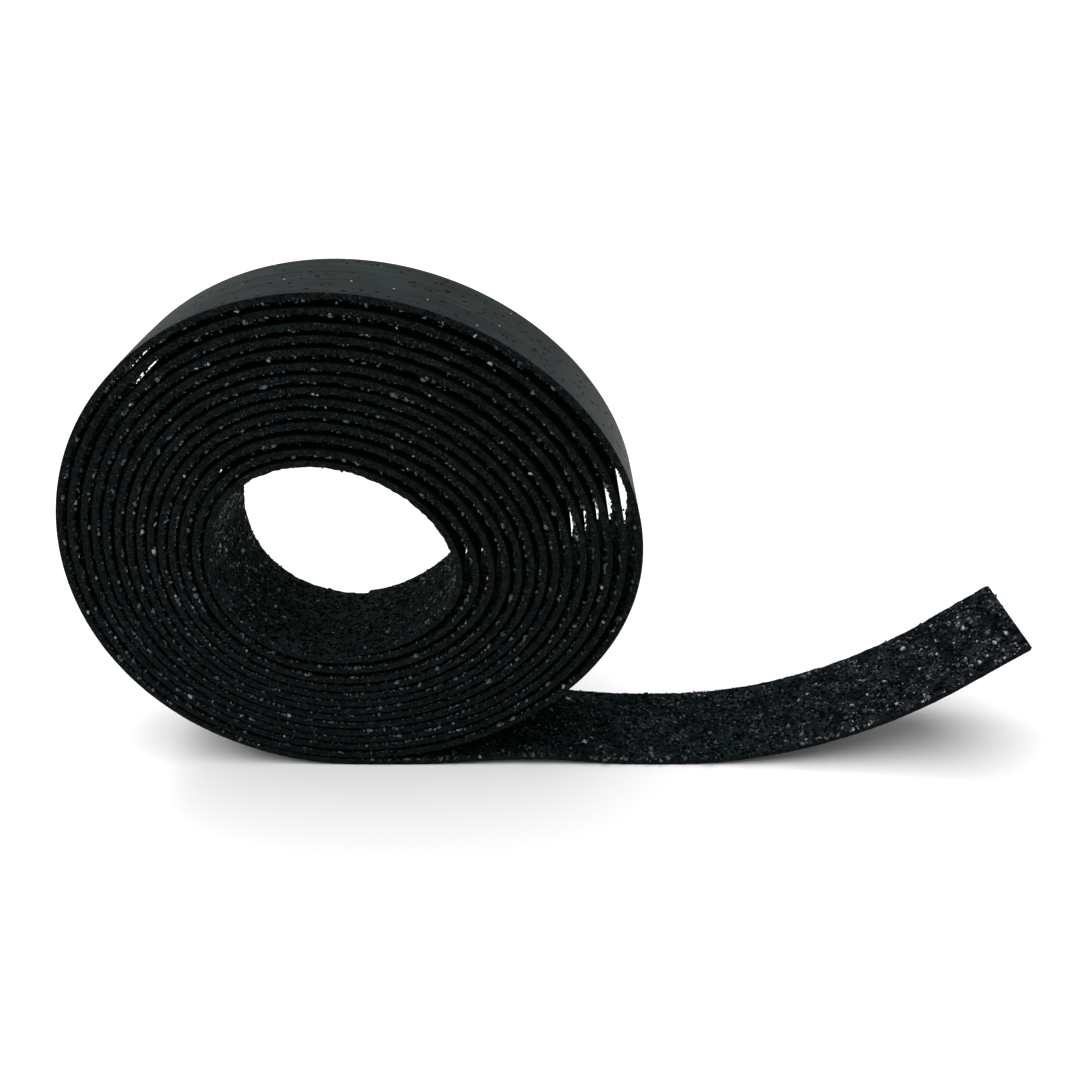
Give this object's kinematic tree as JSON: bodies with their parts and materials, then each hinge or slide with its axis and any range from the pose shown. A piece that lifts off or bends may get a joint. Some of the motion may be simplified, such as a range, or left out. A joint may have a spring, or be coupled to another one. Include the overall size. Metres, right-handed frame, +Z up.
{
  "type": "grip tape roll",
  "caption": "Open-core roll of gritty black rubber strip standing on its edge, with a free tail that lies along the floor and curls up at its end.",
  "frame": {"origin": "on the floor at the middle of the flat patch under the outer turn, halfway across the strip's width", "axes": "+X along the tail, +Y along the winding axis away from the viewer, +Z up"},
  "size_m": [0.1905, 0.025, 0.1006],
  "materials": {
    "rubber": "satin black rubber, the smooth face and the cut edges of the strip",
    "grit": "coarse dark grit bonded to rubber, rough with small glinting grains"
  },
  "bodies": {
    "coil": {"coil_rubber": "rubber", "coil_grit": "grit"},
    "inner_end": {"inner_end_rubber": "rubber", "inner_end_grit": "grit"},
    "tail_root": {"tail_root_rubber": "rubber", "tail_root_grit": "grit"},
    "curl_1": {"curl_1_rubber": "rubber", "curl_1_grit": "grit"},
    "curl_2": {"curl_2_rubber": "rubber", "curl_2_grit": "grit"},
    "curl_3": {"curl_3_rubber": "rubber", "curl_3_grit": "grit"},
    "curl_4": {"curl_4_rubber": "rubber", "curl_4_grit": "grit"},
    "tail_tip": {"tail_tip_rubber": "rubber", "tail_tip_grit": "grit"}
  },
  "joints": [
    {"name": "inner_end_lift", "type": "hinge", "parent": "coil", "child": "inner_end", "pos_m": [0.01132, 0, 0.03293], "axis": [0, 1, 0], "range_deg": [0, 40], "stiffness_Nm_per_rad": 0.04},
    {"name": "tail_lift", "type": "hinge", "parent": "coil", "child": "tail_root", "pos_m": [0.0305, 0, 0.00265], "axis": [0, -1, 0], "range_deg": [0, 30], "stiffness_Nm_per_rad": 0.04},
    {"name": "tail_curl", "type": "hinge", "parent": "tail_root", "child": "curl_1", "pos_m": [0.06, 0, 0.0014], "axis": [0, -1, 0], "range_deg": [-7, 10], "stiffness_Nm_per_rad": 0.04},
    {"name": "tail_curl_2", "type": "hinge", "parent": "curl_1", "child": "curl_2", "pos_m": [0.07559, 0, 0.00264], "axis": [0, -1, 0], "range_deg": [-7, 10], "stiffness_Nm_per_rad": 0.04},
    {"name": "tail_curl_3", "type": "hinge", "parent": "curl_2", "child": "curl_3", "pos_m": [0.0908, 0, 0.00633], "axis": [0, -1, 0], "range_deg": [-7, 10], "stiffness_Nm_per_rad": 0.04},
    {"name": "tail_curl_4", "type": "hinge", "parent": "curl_3", "child": "curl_4", "pos_m": [0.10522, 0, 0.01238], "axis": [0, -1, 0], "range_deg": [-7, 10], "stiffness_Nm_per_rad": 0.04},
    {"name": "tail_curl_5", "type": "hinge", "parent": "curl_4", "child": "tail_tip", "pos_m": [0.11851, 0, 0.02064], "axis": [0, -1, 0], "range_deg": [-7, 10], "stiffness_Nm_per_rad": 0.04}
  ],
  "couplings": [
    {"joint": "tail_curl_2", "follows": "tail_curl", "ratio": 1},
    {"joint": "tail_curl_3", "follows": "tail_curl", "ratio": 1},
    {"joint": "tail_curl_4", "follows": "tail_curl", "ratio": 1},
    {"joint": "tail_curl_5", "follows": "tail_curl", "ratio": 1}
  ]
}
